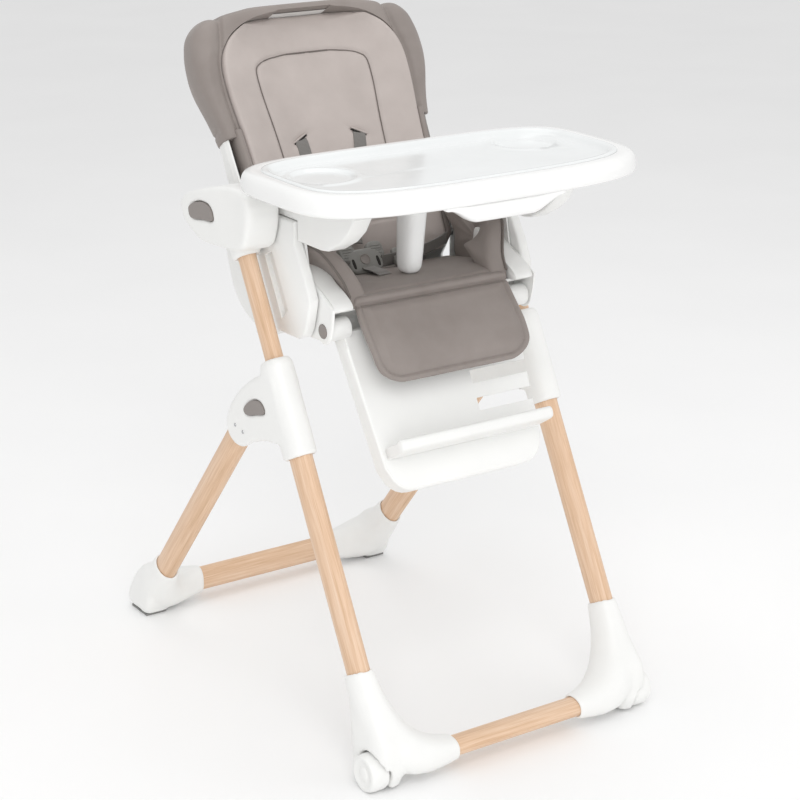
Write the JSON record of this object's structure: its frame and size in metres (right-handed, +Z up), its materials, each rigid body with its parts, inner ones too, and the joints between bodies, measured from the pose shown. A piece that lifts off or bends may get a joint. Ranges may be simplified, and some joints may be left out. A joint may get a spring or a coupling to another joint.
{
  "type": "baby high chair",
  "caption": "Folding baby high chair with wood-grain oval legs, height-adjustable reclining padded seat, sliding tray, calf rest with foot ledge, and front wheels.",
  "frame": {"origin": "middle of the floor rectangle under the whole chair, at floor height", "axes": "+Z up; -Y the way the child faces; +X towards the child's left"},
  "size_m": [0.624, 0.8827, 1.1213],
  "materials": {
    "white_plastic": "satin white injection-moulded plastic",
    "tray_plastic": "gloss white injection-moulded plastic",
    "wood_print": "oval metal tube with a light beech grain print under clear satin lacquer",
    "steel": "bright plated steel pin",
    "button_plastic": "fine-grained grey taupe plastic",
    "pad_rubber": "soft grey rubber",
    "cover_leather": "fine-grained taupe wipe-clean synthetic leather",
    "insert_leather": "fine-grained warm grey wipe-clean synthetic leather",
    "webbing": "woven grey harness webbing",
    "buckle_plastic": "matte grey moulded plastic"
  },
  "bodies": {
    "front_frame": {"front_leg_left": "wood_print", "front_leg_right": "wood_print", "front_foot_left": "white_plastic", "front_foot_right": "white_plastic", "front_crossbar": "wood_print", "mid_hub_left": "white_plastic", "mid_hub_right": "white_plastic", "fold_pin_left": "steel", "fold_pin_right": "steel", "wheel_axle_left": "steel", "wheel_axle_right": "steel"},
    "rear_frame": {"rear_leg_left": "wood_print", "rear_leg_right": "wood_print", "rear_foot_left": "white_plastic", "rear_foot_right": "white_plastic", "rear_knuckle_left": "white_plastic", "rear_knuckle_right": "white_plastic", "rear_foot_pad_left": "pad_rubber", "rear_foot_pad_right": "pad_rubber", "rear_crossbar": "wood_print"},
    "seat": {"slide_tube_left": "wood_print", "slide_tube_right": "wood_print", "upper_hub_left": "white_plastic", "upper_hub_right": "white_plastic", "seat_side_left": "white_plastic", "seat_side_right": "white_plastic", "tray_arm_left": "white_plastic", "tray_arm_right": "white_plastic", "seat_shell": "white_plastic", "seat_pad": "cover_leather", "recline_pin_left": "steel", "recline_pin_right": "steel", "harness_buckle": "buckle_plastic", "crotch_strap": "webbing", "lap_strap_left": "webbing", "lap_strap_right": "webbing"},
    "backrest": {"back_shell": "white_plastic", "back_cover": "cover_leather", "back_insert": "insert_leather", "shoulder_strap_left": "webbing", "shoulder_strap_right": "webbing"},
    "recline_grip": {"recline_handle": "button_plastic"},
    "calf_rest": {"calf_panel": "white_plastic", "calf_pad": "cover_leather"},
    "footrest": {"foot_ledge": "white_plastic"},
    "tray_unit": {"tray": "tray_plastic", "crotch_post": "tray_plastic"},
    "tray_lever": {"tray_release": "white_plastic"},
    "liner": {"tray_liner": "tray_plastic"},
    "buckle_release": {"buckle_button": "button_plastic"},
    "wheel_left": {"front_wheel_left": "white_plastic"},
    "height_button_left": {"upper_button_left": "button_plastic"},
    "fold_button_left": {"mid_button_left": "button_plastic"},
    "calf_lock_left": {"calf_button_left": "button_plastic"},
    "wheel_right": {"front_wheel_right": "white_plastic"},
    "height_button_right": {"upper_button_right": "button_plastic"},
    "fold_button_right": {"mid_button_right": "button_plastic"},
    "calf_lock_right": {"calf_button_right": "button_plastic"}
  },
  "joints": [
    {"name": "frame_fold", "type": "hinge", "parent": "front_frame", "child": "rear_frame", "pos_m": [0, -0.0064, 0.504], "axis": [1, 0, 0], "range_deg": [-66, 0]},
    {"name": "height_slide", "type": "slide", "parent": "front_frame", "child": "seat", "axis": [0, 0.4726, 0.8813], "range_m": [-0.165, 0]},
    {"name": "recline", "type": "hinge", "parent": "seat", "child": "backrest", "pos_m": [0, 0.0486, 0.735], "axis": [1, 0, 0], "range_deg": [-38, 0]},
    {"name": "calf_fold", "type": "hinge", "parent": "seat", "child": "calf_rest", "pos_m": [0, -0.1584, 0.675], "axis": [1, 0, 0], "range_deg": [-55, 0]},
    {"name": "ledge_pull", "type": "slide", "parent": "calf_rest", "child": "footrest", "axis": [0, -0.887, 0.4617], "range_m": [0, 0.03]},
    {"name": "tray_slide", "type": "slide", "parent": "seat", "child": "tray_unit", "axis": [0, -1, 0], "range_m": [0, 0.075]},
    {"name": "tray_release_squeeze", "type": "slide", "parent": "tray_unit", "child": "tray_lever", "axis": [0, 1, 0], "range_m": [0, 0.008], "stiffness_N_per_m": 400, "springref_m": -0.004},
    {"name": "liner_lift", "type": "slide", "parent": "tray_unit", "child": "liner", "axis": [0, 0, 1], "range_m": [0, 0.12]},
    {"name": "recline_squeeze", "type": "slide", "parent": "backrest", "child": "recline_grip", "axis": [0, 0.4695, 0.8829], "range_m": [0, 0.009], "stiffness_N_per_m": 500, "springref_m": -0.006},
    {"name": "buckle_press", "type": "slide", "parent": "seat", "child": "buckle_release", "axis": [0, 0.7962, -0.6051], "range_m": [0, 0.003], "stiffness_N_per_m": 400, "springref_m": -0.004},
    {"name": "wheel_spin_left", "type": "hinge", "parent": "front_frame", "child": "wheel_left", "pos_m": [0.263, -0.3944, 0.031], "axis": [1, 0, 0], "continuous": true},
    {"name": "height_press_left", "type": "slide", "parent": "seat", "child": "height_button_left", "axis": [-1, 0, 0], "range_m": [0, 0.005], "stiffness_N_per_m": 400, "springref_m": -0.004},
    {"name": "fold_press_left", "type": "slide", "parent": "front_frame", "child": "fold_button_left", "axis": [-1, 0, 0], "range_m": [0, 0.003], "stiffness_N_per_m": 400, "springref_m": -0.004},
    {"name": "calf_press_left", "type": "slide", "parent": "calf_rest", "child": "calf_lock_left", "axis": [-1, 0, 0], "range_m": [0, 0.006], "stiffness_N_per_m": 400, "springref_m": -0.004},
    {"name": "wheel_spin_right", "type": "hinge", "parent": "front_frame", "child": "wheel_right", "pos_m": [-0.263, -0.3944, 0.031], "axis": [1, 0, 0], "continuous": true},
    {"name": "height_press_right", "type": "slide", "parent": "seat", "child": "height_button_right", "axis": [1, 0, 0], "range_m": [0, 0.005], "stiffness_N_per_m": 400, "springref_m": -0.004},
    {"name": "fold_press_right", "type": "slide", "parent": "front_frame", "child": "fold_button_right", "axis": [1, 0, 0], "range_m": [0, 0.003], "stiffness_N_per_m": 400, "springref_m": -0.004},
    {"name": "calf_press_right", "type": "slide", "parent": "calf_rest", "child": "calf_lock_right", "axis": [1, 0, 0], "range_m": [0, 0.006], "stiffness_N_per_m": 400, "springref_m": -0.004}
  ]
}
